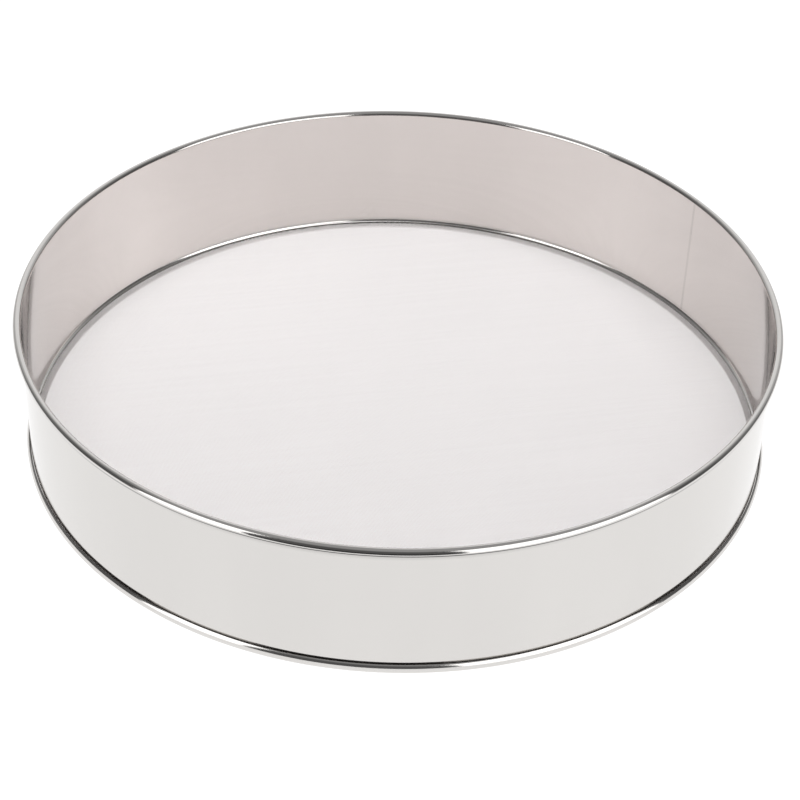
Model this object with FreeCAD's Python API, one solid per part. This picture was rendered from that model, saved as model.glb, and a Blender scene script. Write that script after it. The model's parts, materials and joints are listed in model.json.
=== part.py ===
import FreeCAD, Part
import math
import os

# A drum sieve: a rolled sheet hoop with a wired rim stands in a foot band that carries a wire cloth.
# All lengths are in millimetres. The origin is the centre of the foot's resting face, with Z up.

# Driving dimensions of the hoop
RIM_DIAMETER = 300.0  # over the rolled bead at the top
HEIGHT = 59.0  # from the resting face to the top of the bead
SHEET = 0.5  # thickness of the hoop and of the foot band
SEAM_WIDTH = 1.2  # width of the weld that closes the hoop
SEAM_AZIMUTH_DEGREES = 32.5  # where the weld stands, counted from +X towards +Y

# Rolled rim
RIM_WIRE_DIAMETER = 1.7
RIM_WIRE_CLEARANCE = 0.2  # between the wire and the curl around it
CURL_EDGE_GAP = 0.2  # left between the curl's free edge and the wall

# Foot band, rolled round the lower edge of the hoop and turned in under the cloth
FOOT_BEAD_HEIGHT = 4.8  # of the full round that the band follows
FOOT_BEAD_REACH = 1.65  # how far the band stands out from the wall
FLANGE_REACH = 2.5  # flat width of the edge that is turned in
BAND_CLEARANCE = 0.35  # between the band's upper edge and the wall that stands in it
WALL_FOOT_HEIGHT = 3.5  # of the wall's lower edge, below which the hollow of the band shows inside

# Wire cloth on the band's flat edge, whose fine weave is a plain grid of openings here
CLOTH_WIRE_DIAMETER = 0.2
CLOTH_LAYERS = 2  # warp over weft
CLOTH_TURN_DEGREES = 12.0  # of the warp from +X towards +Y
CLOTH_OPENING = 16.4  # side of one opening of the grid
CLOTH_BAR = 7.4  # width of the bars between the openings
CLOTH_BORDER = 1.0  # plain border inside the flat edge

# Sizes worked out from these
HALF_SHEET = SHEET / 2
CURL_INNER_RADIUS = RIM_WIRE_DIAMETER / 2 + RIM_WIRE_CLEARANCE
CURL_RADIUS = CURL_INNER_RADIUS + HALF_SHEET
BEAD_RADIUS = CURL_INNER_RADIUS + SHEET
RIM_RING_RADIUS = RIM_DIAMETER / 2 - BEAD_RADIUS
RIM_RING_HEIGHT = HEIGHT - BEAD_RADIUS
WALL_RADIUS = RIM_RING_RADIUS - CURL_RADIUS
WALL_OUTER_RADIUS = WALL_RADIUS + HALF_SHEET

FOOT_CENTRE_HEIGHT = FOOT_BEAD_HEIGHT / 2
FOOT_BEND_RADIUS = FOOT_CENTRE_HEIGHT - HALF_SHEET
FOOT_INNER_RADIUS = FOOT_CENTRE_HEIGHT - SHEET
FOOT_CENTRE_RADIUS = WALL_OUTER_RADIUS + FOOT_BEAD_REACH - FOOT_CENTRE_HEIGHT
FLANGE_RADIUS = FOOT_CENTRE_RADIUS - FLANGE_REACH

CLOTH_THICKNESS = CLOTH_LAYERS * CLOTH_WIRE_DIAMETER
CLOTH_PITCH = CLOTH_OPENING + CLOTH_BAR
CLOTH_OPEN_RADIUS = FLANGE_RADIUS - CLOTH_BORDER

ORIGIN = FreeCAD.Vector(0, 0, 0)
OUTWARD = FreeCAD.Vector(1, 0, 0)
UPWARD = FreeCAD.Vector(0, 0, 1)


def turned(vector, angle):
    """A vector of the section plane, turned from outwards towards upwards."""
    cosine = math.cos(angle)
    sine = math.sin(angle)
    return FreeCAD.Vector(cosine * vector.x - sine * vector.z, 0, sine * vector.x + cosine * vector.z)


def faces_at(place, heading):
    """The points of the sheet's two faces beside a place on its middle line."""
    aside = turned(UPWARD, heading) * HALF_SHEET
    return place + aside, place - aside


def sheet_section(start, start_heading, moves):
    """Section of a bent sheet: straight runs and tangent bends along its middle, at an even thickness."""
    edges = []
    place = start
    heading = start_heading
    for run, turn, radius in moves:
        ahead = turned(OUTWARD, heading) * run
        centre = place + turned(UPWARD, heading) * math.copysign(radius, turn)
        for begin in faces_at(place, heading):
            if turn:
                middle = centre + turned(begin - centre, turn / 2)
                end = centre + turned(begin - centre, turn)
                edges.append(Part.Arc(begin, middle, end).toShape())
            else:
                edges.append(Part.makeLine(begin, begin + ahead))
        place = centre + turned(place - centre, turn) + ahead
        heading += turn
    edges.append(Part.makeLine(*faces_at(start, start_heading)))
    edges.append(Part.makeLine(*faces_at(place, heading)))
    return Part.Face(Part.Wire(Part.__sortEdges__(edges)))


def hoop_section():
    """From the lower edge, which stands in the foot band, up the wall and round the rim's wire."""
    wall_run = RIM_RING_HEIGHT - WALL_FOOT_HEIGHT
    free_edge = math.acos((CURL_EDGE_GAP - CURL_INNER_RADIUS) / BEAD_RADIUS)
    start = FreeCAD.Vector(WALL_RADIUS, 0, WALL_FOOT_HEIGHT)
    moves = (
        (wall_run, 0, 0),
        (0, -math.pi - free_edge, CURL_RADIUS),
    )
    return sheet_section(start, math.pi / 2, moves)


def band_section():
    """From the flat edge under the cloth, out and up round the foot to an upper edge beside the wall."""
    upper_edge = math.acos((WALL_OUTER_RADIUS + BAND_CLEARANCE - FOOT_CENTRE_RADIUS) / FOOT_INNER_RADIUS)
    start = FreeCAD.Vector(FLANGE_RADIUS, 0, HALF_SHEET)
    moves = (
        (FLANGE_REACH, 0, 0),
        (0, math.pi / 2 + upper_edge, FOOT_BEND_RADIUS),
    )
    return sheet_section(start, 0, moves)


def rolled(section, start_degrees, sweep_degrees):
    section.rotate(ORIGIN, UPWARD, start_degrees)
    return section.revolve(ORIGIN, UPWARD, sweep_degrees)


def round_face(radius, height):
    return Part.Face(Part.Wire(Part.makeCircle(radius, FreeCAD.Vector(0, 0, height))))


def wire_cloth():
    """A disc on the band's flat edge, with a grid of openings that ends inside that edge."""
    count = int((2 * CLOTH_OPEN_RADIUS + CLOTH_BAR) // CLOTH_PITCH)
    first = -CLOTH_PITCH * (count - 1) / 2 - CLOTH_OPENING / 2
    places = [first + CLOTH_PITCH * index for index in range(count)]
    openings = Part.makeCompound([
        Part.makePlane(CLOTH_OPENING, CLOTH_OPENING, FreeCAD.Vector(across, along, SHEET))
        for across in places
        for along in places
    ])
    openings.rotate(ORIGIN, UPWARD, CLOTH_TURN_DEGREES)
    open_middle = openings.common(round_face(CLOTH_OPEN_RADIUS, SHEET))
    grid = round_face(FOOT_CENTRE_RADIUS, SHEET).cut(open_middle)
    return grid.Faces[0].extrude(UPWARD * CLOTH_THICKNESS)


def rim_wire():
    centre = FreeCAD.Vector(0, 0, RIM_RING_HEIGHT)
    return Part.makeTorus(RIM_RING_RADIUS, RIM_WIRE_DIAMETER / 2, centre, UPWARD)


seam_degrees = math.degrees(SEAM_WIDTH / WALL_RADIUS)
seam_start = SEAM_AZIMUTH_DEGREES - seam_degrees / 2

nodes = {
    "hoop": rolled(hoop_section(), seam_start + seam_degrees, 360 - seam_degrees),
    "seam_weld": rolled(hoop_section(), seam_start, seam_degrees),
    "rim_wire": rim_wire(),
    "foot_band": rolled(band_section(), seam_start, 360),
    "mesh_cloth": wire_cloth(),
}

os.makedirs("parts", exist_ok=True)
for name, shape in nodes.items():
    shape.exportStep("parts/" + name + ".step")
    box = shape.optimalBoundingBox(False)
    print(name, shape.isValid(), len(shape.Solids), shape.Volume, box.XLength, box.ZMin, box.ZMax)
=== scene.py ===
import json
import math

import bmesh
import bpy
from mathutils import Matrix, Vector


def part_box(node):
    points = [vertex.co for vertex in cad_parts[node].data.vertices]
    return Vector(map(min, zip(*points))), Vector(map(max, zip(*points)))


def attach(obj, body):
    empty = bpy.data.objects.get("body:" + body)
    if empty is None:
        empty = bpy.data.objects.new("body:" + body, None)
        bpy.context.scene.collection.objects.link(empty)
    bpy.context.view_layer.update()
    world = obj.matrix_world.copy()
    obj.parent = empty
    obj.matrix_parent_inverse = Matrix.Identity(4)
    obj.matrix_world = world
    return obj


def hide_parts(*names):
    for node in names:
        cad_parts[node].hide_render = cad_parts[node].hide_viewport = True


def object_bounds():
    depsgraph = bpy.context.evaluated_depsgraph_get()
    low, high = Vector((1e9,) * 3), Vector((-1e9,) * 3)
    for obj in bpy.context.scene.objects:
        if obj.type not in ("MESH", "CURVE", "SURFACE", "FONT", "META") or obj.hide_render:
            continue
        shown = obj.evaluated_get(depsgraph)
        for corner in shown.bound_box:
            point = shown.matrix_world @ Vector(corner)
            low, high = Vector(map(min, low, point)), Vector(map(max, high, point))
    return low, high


# A drum sieve of polished sheet, dressed around its solids. Lengths are in metres, angles in degrees.

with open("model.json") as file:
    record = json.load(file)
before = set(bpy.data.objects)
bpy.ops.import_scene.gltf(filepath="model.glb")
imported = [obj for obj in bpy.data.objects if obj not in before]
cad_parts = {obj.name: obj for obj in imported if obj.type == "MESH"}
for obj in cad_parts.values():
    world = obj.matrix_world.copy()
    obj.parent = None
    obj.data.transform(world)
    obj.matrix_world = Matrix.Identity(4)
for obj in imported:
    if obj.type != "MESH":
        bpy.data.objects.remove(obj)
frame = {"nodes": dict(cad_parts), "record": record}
cad_low, cad_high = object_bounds()
colours = {entry["slot"]: entry["base_color"] for entry in frame["record"]["materials"]}

# Sizes of the sheet's sections that the solids' boxes don't give
FOOT_BEAD_HEIGHT = 0.0048  # of the full round that the foot band follows
FLANGE_REACH = 0.0025  # flat width of the band's edge that is turned in under the cloth
BAND_CLEARANCE = 0.00035  # between the band's upper edge and the wall that stands in it
RIM_BEAD_HEIGHT = 0.0033  # of the rolled rim, an upright oval
CURL_EDGE_GAP = 0.0002  # between the rim's free edge and the wall
SEAM_WIDTH = 0.0012  # of the weld that closes the hoop
SEAM_AZIMUTH = 32.5  # from +X towards +Y

# How finely the turned pieces are divided
ROUND_STEPS = 400
SEAM_STEPS = 4
BEND_STEP = 8.0
GUARD_RUN = 0.0004  # at each end of a straight run, which keeps the long wall's shading straight
SHARP_ANGLE = 40.0
INSIDE_FACING = 0.9  # how squarely a face looks at the drum's axis to count as inside

# Wire cloth
CLOTH_PITCH = 0.0005  # about fifty wires to the inch, both ways
CLOTH_TURN = 12.0  # of the warp from +X towards +Y
WIRE_SIDES = 4
WIRE_CUTS = 7
WIRE_SHARP_ANGLE = 100.0  # above a square's corners, so that the wires are shaded round

# Sizes read from the solids
hoop_low, hoop_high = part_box("hoop")
rim_wire_low, rim_wire_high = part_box("rim_wire")
band_low, band_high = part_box("foot_band")
cloth_low, cloth_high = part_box("mesh_cloth")

sheet = cloth_low.z - band_low.z
rim_height = (rim_wire_low.z + rim_wire_high.z) / 2
bead_radius = hoop_high.z - rim_height
rim_ring_radius = min(cad_high.x, cad_high.y) - bead_radius
wall_radius = rim_ring_radius - bead_radius + sheet
foot_bead_radius = FOOT_BEAD_HEIGHT / 2
foot_ring_radius = min(band_high.x, band_high.y) - foot_bead_radius
cloth_radius = min(cloth_high.x, cloth_high.y)
wire_radius = (cloth_high.z - cloth_low.z) / 4
rim_foot = hoop_high.z - RIM_BEAD_HEIGHT
seam_sweep = math.degrees(SEAM_WIDTH / wall_radius)
drum_centre = Vector((0, 0, (cad_low.z + cad_high.z) / 2))


# Mesh helpers

def finished_piece(bm, name, node, materials, sharp_angle=SHARP_ANGLE):
    """Turns a mesh into a named piece that stands for a solid, shaded smooth except at its sharp edges."""
    for face in bm.faces:
        face.smooth = True
    for edge in bm.edges:
        edge.smooth = edge.calc_face_angle(0) < math.radians(sharp_angle)
    mesh = bpy.data.meshes.new(name)
    bm.to_mesh(mesh)
    bm.free()
    for material in materials:
        mesh.materials.append(material)
    piece = bpy.data.objects.new(name, mesh)
    bpy.context.scene.collection.objects.link(piece)
    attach(piece, "root")
    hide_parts(node)
    return piece


def draw_run(bm, tip, heading, length):
    """Draws the section on from its tip along a straight run."""
    tip = bmesh.ops.extrude_vert_indiv(bm, verts=[tip])["verts"][0]
    tip.co += length * Vector((math.cos(heading), 0, math.sin(heading)))
    return tip


def draw_bend(bm, tip, heading, turn, radius):
    """Draws the section on round a bend, to the left where the turn is positive."""
    side = math.copysign(radius, turn)
    centre = tip.co + side * Vector((-math.sin(heading), 0, math.cos(heading)))
    steps = math.ceil(abs(math.degrees(turn)) / BEND_STEP)
    drawn = bmesh.ops.spin(bm, geom=[tip], cent=centre, axis=(0, -1, 0), angle=turn, steps=steps)
    return next(vert for vert in drawn["geom_last"] if isinstance(vert, bmesh.types.BMVert))


def rolled_sheet(start, heading, moves, azimuth, sweep, steps):
    """A sheet turned about the drum's axis. Its outer face is drawn in section, to the right of the way."""
    bm = bmesh.new()
    tip = bm.verts.new(start)
    outside = Vector((math.sin(heading), 0, -math.cos(heading)))
    for length, turn, radius in moves:
        if length:
            for run in (GUARD_RUN, length - 2 * GUARD_RUN, GUARD_RUN):
                tip = draw_run(bm, tip, heading, run)
        tip = draw_bend(bm, tip, heading, turn, radius)
        heading += turn
    whole = sweep == 360
    section = bm.verts[:] + bm.edges[:]
    bmesh.ops.spin(
        bm, geom=section, axis=(0, 0, 1), angle=math.radians(sweep), steps=steps, use_merge=whole)
    bmesh.ops.recalc_face_normals(bm, faces=bm.faces)
    first = min(bm.faces, key=lambda face: (face.calc_center_median() - Vector(start)).length)
    if first.normal.dot(outside) < 0:
        bmesh.ops.reverse_faces(bm, faces=bm.faces)
    # Taken between the flats of the bends, so that their corners stay within the sheet.
    thickness = sheet * math.cos(math.radians(BEND_STEP / 2))
    bmesh.ops.solidify(bm, geom=bm.faces[:], thickness=thickness)
    bmesh.ops.rotate(bm, verts=bm.verts, matrix=Matrix.Rotation(math.radians(azimuth), 3, "Z"))
    # Faces that look inwards take the second material, which on the hoop and the weld is the copy with a
    # painted rosier tint.
    for face in bm.faces:
        inward = -face.calc_center_median() * Vector((1, 1, 0))
        face.material_index = int(face.normal.dot(inward.normalized()) > INSIDE_FACING)
    return bm


def rolled_wall(azimuth, sweep, steps):
    """Wall and rolled rim over part of a round. The rim's bends are wide at its sides and tight between."""
    half_height = RIM_BEAD_HEIGHT / 2
    offset = (half_height - bead_radius) / (2 - math.sqrt(2))
    wide = bead_radius + offset - sheet
    tight = half_height - offset - sheet
    quarter = math.pi / 2
    free_edge = math.acos((CURL_EDGE_GAP - bead_radius + sheet) / (tight + sheet))
    moves = [
        (hoop_high.z - half_height - hoop_low.z, -quarter / 2, wide),
        (0, -quarter, tight),
        (0, -quarter, wide),
        (0, quarter / 2 - free_edge, tight),
    ]
    return rolled_sheet((wall_radius, 0, hoop_low.z), quarter, moves, azimuth, sweep, steps)


# Materials

# Shares of the record's colours: the sheet outside, the same sheet inside with a painted rosier cast for
# the light reflected within the drum, and the cloth
OUTER_TINT = (1.0, 0.99, 0.995)
INSIDE_PAINTED_TINT = (1.025, 0.985, 0.985)
CLOTH_TINT = (1.005, 0.985, 0.995)
# Painted shade in the crease above the band and under the rim: share of the sheet's tone that is left, by
# height above the band and the rim's foot
FOOT_PAINTED_SHADE = ((0.0001, 0.55), (0.0005, 1.0))
RIM_PAINTED_SHADE = ((-0.0033, 1.0), (-0.0006, 0.75), (-0.0002, 0.12), (0.0011, 0.12), (0.0015, 1.0))
# Detail of the noise, and the part of its range that is spread over the tones and the polish
CLOUD_DETAIL = 3.0
CLOUD_RANGE = (0.3, 0.7)
GRAIN_DETAIL = 2.0
GRAIN_RANGE = (0.25, 0.75)


def add_node(tree, kind, inputs, **settings):
    """Adds a shader node, with its settings, its constant inputs and the links into it."""
    made = tree.nodes.new("ShaderNode" + kind)
    for name, value in settings.items():
        setattr(made, name, value)
    for name, value in inputs.items():
        if isinstance(value, bpy.types.NodeSocket):
            tree.links.new(value, made.inputs[name])
        else:
            made.inputs[name].default_value = value
    return made


def new_material(name):
    material = bpy.data.materials.new(name)
    material.use_nodes = True
    tree = material.node_tree
    tree.nodes.clear()
    return material, tree


def tinted(slot, tint):
    return tuple(part * share for part, share in zip(colours[slot], tint))


def rgba(colour, tone=1.0):
    return (colour[0] * tone, colour[1] * tone, colour[2] * tone, 1.0)


def noise(tree, spread, detail, turn=0.0):
    """Noise on the piece's own coordinates, with the size of its patches along each axis."""
    coordinates = add_node(tree, "TexCoord", {}).outputs["Object"]
    mapped = add_node(tree, "Mapping", {
        "Vector": coordinates, "Rotation": (0, 0, math.radians(turn)), "Scale": spread,
    }, vector_type="TEXTURE")
    return add_node(tree, "TexNoise", {
        "Vector": mapped.outputs["Vector"], "Scale": 1.0, "Detail": detail,
    }).outputs["Fac"]


def grey_ramp(tree, value, stops):
    """A smooth grey ramp through stops of position and brightness."""
    ramp = add_node(tree, "ValToRGB", {"Fac": value})
    ramp.color_ramp.interpolation = "EASE"
    elements = ramp.color_ramp.elements
    while len(elements) < len(stops):
        elements.new(0.5)
    for element, (position, brightness) in zip(elements, stops):
        element.position = position
        element.color = (brightness, brightness, brightness, 1)
    return ramp.outputs["Color"]


def painted_joint_shade(tree, colour):
    """Painted shade: darkens the sheet in a narrow line along the foot joint, on the rim's underside, and
    softly on the wall just under the rim.
    """
    coordinates = add_node(tree, "TexCoord", {}).outputs["Object"]
    height = add_node(tree, "SeparateXYZ", {"Vector": coordinates}).outputs["Z"]
    rise = add_node(tree, "MapRange", {"Value": height, "From Max": hoop_high.z}).outputs["Result"]
    heights = [(band_high.z + above, share) for above, share in FOOT_PAINTED_SHADE]
    heights += [(rim_foot + above, share) for above, share in RIM_PAINTED_SHADE]
    painted_shade = grey_ramp(tree, rise, [(place / hoop_high.z, share) for place, share in heights])
    return add_node(tree, "VectorMath", {0: colour, 1: painted_shade}, operation="MULTIPLY").outputs[0]


def steel(name, colour, tones, clouds, roughness, grain, depth, metallic=1.0, turn=0.0, with_painted_shade=False):
    """Bright metal: slow clouds in its tone, a fine grain in its polish and its surface, and where asked a
    painted shade along the joints.
    """
    material, tree = new_material(name)
    cloud = noise(tree, clouds, CLOUD_DETAIL, turn)
    fine = noise(tree, grain, GRAIN_DETAIL, turn)
    tone = add_node(tree, "MapRange", {
        "Value": cloud, "From Min": CLOUD_RANGE[0], "From Max": CLOUD_RANGE[1],
    }).outputs["Result"]
    tint = add_node(tree, "ValToRGB", {"Fac": tone})
    tint.color_ramp.elements[0].color = rgba(colour, tones[0])
    tint.color_ramp.elements[1].color = rgba(colour, tones[1])
    shown = tint.outputs["Color"]
    # Painted shade along the foot joint and under the rim, multiplied into the tone
    if with_painted_shade:
        shown = painted_joint_shade(tree, shown)
    polish = add_node(tree, "MapRange", {
        "Value": fine, "From Min": GRAIN_RANGE[0], "From Max": GRAIN_RANGE[1],
        "To Min": roughness[0], "To Max": roughness[1],
    }).outputs["Result"]
    relief = add_node(tree, "Bump", {"Height": fine, "Strength": 1.0, "Distance": depth})
    shader = add_node(tree, "BsdfPrincipled", {
        "Base Color": shown,
        "Metallic": metallic,
        "Roughness": polish,
        "Normal": relief.outputs["Normal"],
    })
    add_node(tree, "OutputMaterial", {"Surface": shader.outputs["BSDF"]})
    return material


def white_paper():
    """Paper that glows a little, as it does on a lit table, so that it is white up to the drum's foot."""
    material, tree = new_material("white_paper")
    shader = add_node(tree, "BsdfPrincipled", {
        "Base Color": (PAPER_TONE,) * 3 + (1,),
        "Roughness": 1.0,
        "Specular IOR Level": 0.0,
        "Emission Color": (1, 1, 1, 1),
        "Emission Strength": PAPER_GLOW,
    })
    add_node(tree, "OutputMaterial", {"Surface": shader.outputs["BSDF"]})
    return material


# Pieces

def make_hoop():
    bm = rolled_wall(SEAM_AZIMUTH + seam_sweep / 2, 360 - seam_sweep, ROUND_STEPS)
    # The inside copy is tinted rosier: painted colour of the light reflected within the drum.
    sheets = [
        steel(
            name, tinted("polished_sheet", tint), tones=(0.98, 1.02), clouds=(0.05, 0.05, 0.2),
            roughness=roughness, grain=(0.03, 0.03, 0.0004), depth=0.000002, with_painted_shade=outside)
        # The outside copy takes the painted shade along the foot joint and under the rim.
        for name, tint, roughness, outside in (
            ("polished_sheet", OUTER_TINT, (0.08, 0.12), True),
            ("polished_sheet_inside_painted_tint", INSIDE_PAINTED_TINT, (0.05, 0.08), False),
        )
    ]
    return finished_piece(bm, "hoop_band", "hoop", sheets)


def make_seam_weld():
    bm = rolled_wall(SEAM_AZIMUTH - seam_sweep / 2, seam_sweep, SEAM_STEPS)
    # The inside copy is tinted rosier: painted colour of the light reflected within the drum.
    grounds = [
        steel(
            name, tinted("ground_weld", tint), tones=(0.95, 1.02), clouds=(0.01, 0.01, 0.01),
            roughness=(0.16, 0.26), grain=(0.0003, 0.0003, 0.01), depth=0.000003, with_painted_shade=outside)
        # The outside copy takes the painted shade along the foot joint and under the rim.
        for name, tint, outside in (
            ("ground_weld", OUTER_TINT, True),
            ("ground_weld_inside_painted_tint", INSIDE_PAINTED_TINT, False),
        )
    ]
    return finished_piece(bm, "seam_weld_strip", "seam_weld", grounds)


def make_foot_band():
    clear_radius = wall_radius + BAND_CLEARANCE
    upper_edge = math.acos((clear_radius - foot_ring_radius) / (foot_bead_radius - sheet))
    moves = [(FLANGE_REACH, math.pi / 2 + upper_edge, foot_bead_radius)]
    start = (foot_ring_radius - FLANGE_REACH, 0, band_low.z)
    bm = rolled_sheet(start, 0.0, moves, SEAM_AZIMUTH, 360, ROUND_STEPS)
    polished = steel(
        "polished_band", tinted("polished_sheet", OUTER_TINT), tones=(0.97, 1.02),
        clouds=(0.05, 0.05, 0.05), roughness=(0.08, 0.13), grain=(0.02, 0.02, 0.0004), depth=0.000002)
    return finished_piece(bm, "foot_band_rolled", "foot_band", [polished, polished])


def make_cloth_layer(name, turn, height, material):
    """Parallel wires side by side across the cloth's disc, each as long as the chord it lies on."""
    count = 2 * math.floor((cloth_radius - wire_radius) / CLOTH_PITCH) + 1
    reach = CLOTH_PITCH * (count - 1) / 2
    bm = bmesh.new()
    bmesh.ops.create_cone(
        bm, segments=WIRE_SIDES, radius1=wire_radius, radius2=wire_radius, depth=2, cap_ends=True)
    bmesh.ops.rotate(bm, verts=bm.verts, matrix=Matrix.Rotation(math.pi / 4, 3, "Z"))
    bmesh.ops.rotate(bm, verts=bm.verts, matrix=Matrix.Rotation(math.pi / 2, 3, "Y"))
    lengthwise = [edge for edge in bm.edges if edge.calc_length() > 1]
    bmesh.ops.subdivide_edges(bm, edges=lengthwise, cuts=WIRE_CUTS, use_grid_fill=True)
    bmesh.ops.translate(bm, verts=bm.verts, vec=(0, -reach, 0))
    wire = bm.verts[:] + bm.edges[:] + bm.faces[:]
    bmesh.ops.spin(
        bm, geom=wire, axis=(0, 0, 1), angle=0, dvec=(0, CLOTH_PITCH, 0), steps=count - 1,
        use_duplicate=True)
    for vert in bm.verts:
        vert.co.x *= math.sqrt(cloth_radius ** 2 - vert.co.y ** 2)
    bmesh.ops.rotate(bm, verts=bm.verts, matrix=Matrix.Rotation(math.radians(turn), 3, "Z"))
    bmesh.ops.translate(bm, verts=bm.verts, vec=(0, 0, height))
    bmesh.ops.recalc_face_normals(bm, faces=bm.faces)
    return finished_piece(bm, name, "mesh_cloth", [material], WIRE_SHARP_ANGLE)


def make_cloth():
    """Weft below and warp above, part matt, as the bends at every crossing make the wires look."""
    bright = steel(
        "wire_cloth", tinted("wire_cloth", CLOTH_TINT), tones=(0.99, 1.03), clouds=(0.12, 0.002, 0.1),
        roughness=(0.45, 0.60), grain=(0.002, 0.0005, 0.002), depth=0.0, metallic=0.25, turn=CLOTH_TURN)
    weft = make_cloth_layer("cloth_weft", CLOTH_TURN + 90, cloth_low.z + wire_radius, bright)
    warp = make_cloth_layer("cloth_warp", CLOTH_TURN, cloth_high.z - wire_radius, bright)
    return weft, warp


def dress_rim_wire():
    drawn = steel(
        "drawn_wire", colours["drawn_wire"], tones=(0.95, 1.02), clouds=(0.02, 0.02, 0.02),
        roughness=(0.25, 0.40), grain=(0.003, 0.003, 0.0004), depth=0.000002)
    node = frame["nodes"]["rim_wire"]
    node.data.materials.clear()
    node.data.materials.append(drawn)
    return node


# Stage, light and camera

PAPER_FRONT = 0.225  # how far the white paper reaches from the drum's axis towards the camera
PAPER_BACK = 0.9
PAPER_SIDE = 0.6
PAPER_TONE = 0.2
PAPER_GLOW = 1.0
FLOOR_DROP = 0.0001  # of the paper below the drum's foot

# Brightness of the room level with the drum, from in front of it (0) to behind it (1), and overhead
ROOM_AROUND = ((0.0, 0.11), (0.33, 0.11), (0.5, 0.11), (0.69, 0.2), (0.9, 0.58), (0.97, 0.95))
ROOM_OVERHEAD = 0.38
ROOM_BELOW = 0.4  # share of it that is left below the paper's level
# Sines of the elevations over which the room changes to overhead, and from below to level
OVERHEAD_RISE = (0.6, 0.88)
LEVEL_RISE = (-0.12, 0.02)

FOOT_SPOT_LEFT = 118  # azimuths of the places in the foot's hollow that are lit by themselves
FOOT_SPOT_RIGHT = 62

CAMERA_PLACE = (0.0, -0.669314, 0.518027)
CAMERA_LENS = 92.9262  # on a sensor 36 mm wide
CAMERA_PAN = 0.13175
CAMERA_TILT = 37.26088
CAMERA_ROLL = 1.78458
CAMERA_NEAR = 0.01  # nearest distance that it shows


def make_floor():
    """A sheet of white paper under the drum."""
    bm = bmesh.new()
    bmesh.ops.create_grid(bm, x_segments=1, y_segments=1, size=0.5)
    bmesh.ops.scale(bm, verts=bm.verts, vec=(2 * PAPER_SIDE, PAPER_FRONT + PAPER_BACK, 1))
    middle = (PAPER_BACK - PAPER_FRONT) / 2
    bmesh.ops.translate(bm, verts=bm.verts, vec=(0, middle, cad_low.z - FLOOR_DROP))
    mesh = bpy.data.meshes.new("floor")
    bm.to_mesh(mesh)
    bm.free()
    mesh.materials.append(white_paper())
    floor = bpy.data.objects.new("floor", mesh)
    bpy.context.scene.collection.objects.link(floor)
    return floor


def make_softbox(name, azimuth, elevation, distance, width, height, radiance, target=drum_centre):
    """A rectangular light aimed at the drum or at a place on it. Azimuth counts from +X towards +Y."""
    light = bpy.data.lights.new(name, "AREA")
    light.shape = "RECTANGLE"
    light.size = width
    light.size_y = height
    light.energy = radiance * math.pi * width * height
    softbox = bpy.data.objects.new(name, light)
    bpy.context.scene.collection.objects.link(softbox)
    level = math.radians(elevation)
    bearing = math.radians(azimuth)
    reach = math.cos(level)
    aim = Vector((reach * math.cos(bearing), reach * math.sin(bearing), math.sin(level)))
    softbox.location = target + distance * aim
    softbox.rotation_euler = aim.to_track_quat("Z", "Y").to_euler()
    softbox.visible_camera = False
    return softbox


def lit_group(name, lit):
    """A collection of the pieces that a light falls on."""
    group = bpy.data.collections.new(name)
    for member in lit:
        group.objects.link(member)
    return group


def foot_spot(azimuth):
    """A place in the hollow of the foot band, on the inside of the drum."""
    bearing = math.radians(azimuth)
    return Vector((cloth_radius * math.cos(bearing), cloth_radius * math.sin(bearing), cloth_high.z))


def make_lights(metal, cloth, band):
    """Tall softboxes beside the camera for the sheet, and small lights for the cloth and the foot."""
    sheet_group = lit_group("lit_sheet", metal)
    for softbox in (
        make_softbox(
            "left_softbox", azimuth=-142, elevation=4.5, distance=1.5, width=0.8, height=2.56,
            radiance=1.8),
        make_softbox(
            "right_softbox", azimuth=-44, elevation=4.5, distance=1.5, width=1.58, height=2.56,
            radiance=1.8),
    ):
        softbox.light_linking.receiver_collection = sheet_group

    cloth_group = lit_group("lit_cloth", cloth)
    for overhead in (
        make_softbox(
            "cloth_light_left", azimuth=150, elevation=45, distance=0.4, width=0.15, height=0.15,
            radiance=16.0),
        make_softbox(
            "cloth_light_above", azimuth=95, elevation=66, distance=0.38, width=0.15, height=0.15,
            radiance=6.3),
        make_softbox(
            "cloth_light_right", azimuth=30, elevation=45, distance=0.4, width=0.15, height=0.15,
            radiance=12.8),
    ):
        overhead.visible_glossy = False
        overhead.light_linking.receiver_collection = cloth_group
        overhead.light_linking.blocker_collection = cloth_group

    band_group = lit_group("lit_band", [band])
    for inside in (
        make_softbox(
            "foot_light_left", azimuth=-35, elevation=43, distance=0.26, width=0.1, height=0.3,
            radiance=1.4, target=foot_spot(FOOT_SPOT_LEFT)),
        make_softbox(
            "foot_light_right", azimuth=-148, elevation=36, distance=0.25, width=0.05, height=0.2,
            radiance=1.4, target=foot_spot(FOOT_SPOT_RIGHT)),
    ):
        inside.light_linking.receiver_collection = band_group


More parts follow.
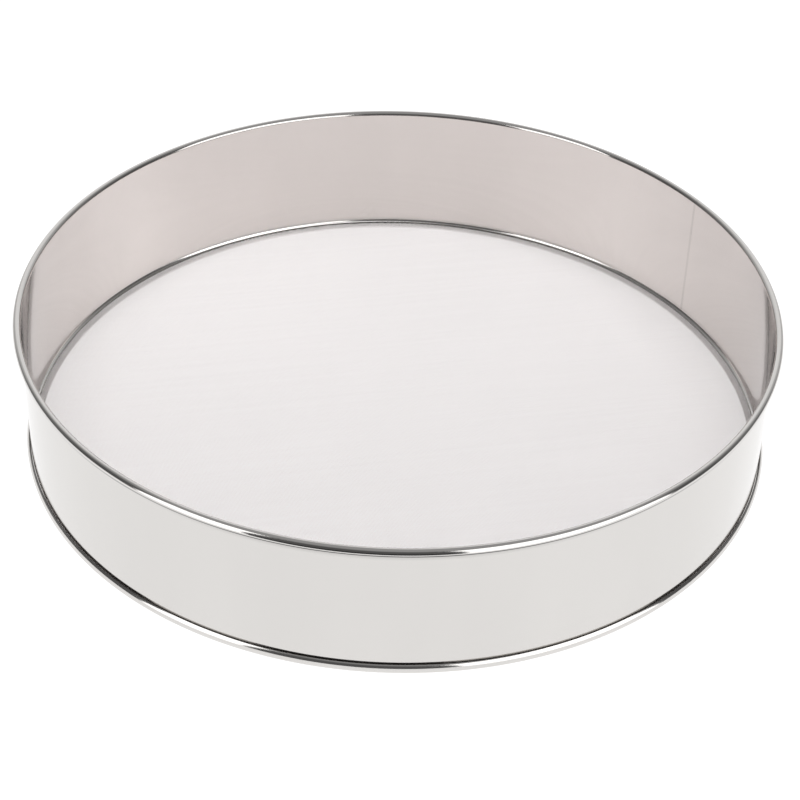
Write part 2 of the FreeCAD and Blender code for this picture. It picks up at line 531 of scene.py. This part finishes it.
def make_room():
    """A dim room, pale behind the drum and grey overhead, and plain white where the camera sees it."""
    world = bpy.data.worlds.new("room")
    bpy.context.scene.world = world
    world.use_nodes = True
    tree = world.node_tree
    tree.nodes.clear()
    direction = add_node(tree, "TexCoord", {}).outputs["Generated"]
    rise = add_node(tree, "SeparateXYZ", {"Vector": direction}).outputs["Z"]
    flat = add_node(tree, "VectorMath", {0: direction, 1: (1, 1, 0)}, operation="MULTIPLY").outputs[0]
    level = add_node(tree, "VectorMath", {0: flat}, operation="NORMALIZE").outputs[0]
    away = add_node(tree, "SeparateXYZ", {"Vector": level}).outputs["Y"]
    behind = add_node(tree, "MapRange", {
        "Value": away, "From Min": -1.0, "From Max": 1.0,
    }).outputs["Result"]
    around = grey_ramp(tree, behind, ROOM_AROUND)
    high = add_node(tree, "MapRange", {
        "Value": rise, "From Min": OVERHEAD_RISE[0], "From Max": OVERHEAD_RISE[1],
    }).outputs["Result"]
    tones = add_node(tree, "Mix", {0: high, 6: around, 7: (ROOM_OVERHEAD,) * 3 + (1,)}, data_type="RGBA")
    strength = add_node(tree, "MapRange", {
        "Value": rise, "From Min": LEVEL_RISE[0], "From Max": LEVEL_RISE[1],
        "To Min": ROOM_BELOW, "To Max": 1.0,
    }).outputs["Result"]
    room = add_node(tree, "Background", {"Color": tones.outputs[2], "Strength": strength})
    backdrop = add_node(tree, "Background", {"Color": (1, 1, 1, 1), "Strength": 1.0})
    seen = add_node(tree, "LightPath", {}).outputs["Is Camera Ray"]
    mix = add_node(tree, "MixShader", {0: seen, 1: room.outputs[0], 2: backdrop.outputs[0]})
    add_node(tree, "OutputWorld", {"Surface": mix.outputs[0]})


def make_camera():
    camera = bpy.data.cameras.new("camera")
    camera.lens = CAMERA_LENS
    camera.clip_start = CAMERA_NEAR
    viewer = bpy.data.objects.new("camera", camera)
    bpy.context.scene.collection.objects.link(viewer)
    pan = Matrix.Rotation(-math.radians(CAMERA_PAN), 4, "Z")
    tilt = Matrix.Rotation(math.radians(90 - CAMERA_TILT), 4, "X")
    roll = Matrix.Rotation(math.radians(CAMERA_ROLL), 4, "Z")
    viewer.matrix_world = Matrix.Translation(CAMERA_PLACE) @ pan @ tilt @ roll
    bpy.context.scene.camera = viewer


foot_band = make_foot_band()
sheet_pieces = [make_hoop(), make_seam_weld(), foot_band, dress_rim_wire()]
cloth_layers = make_cloth()
paper = make_floor()
make_room()
make_lights([*sheet_pieces, paper], cloth_layers, foot_band)
make_camera()
bpy.context.scene.view_settings.view_transform = "Standard"
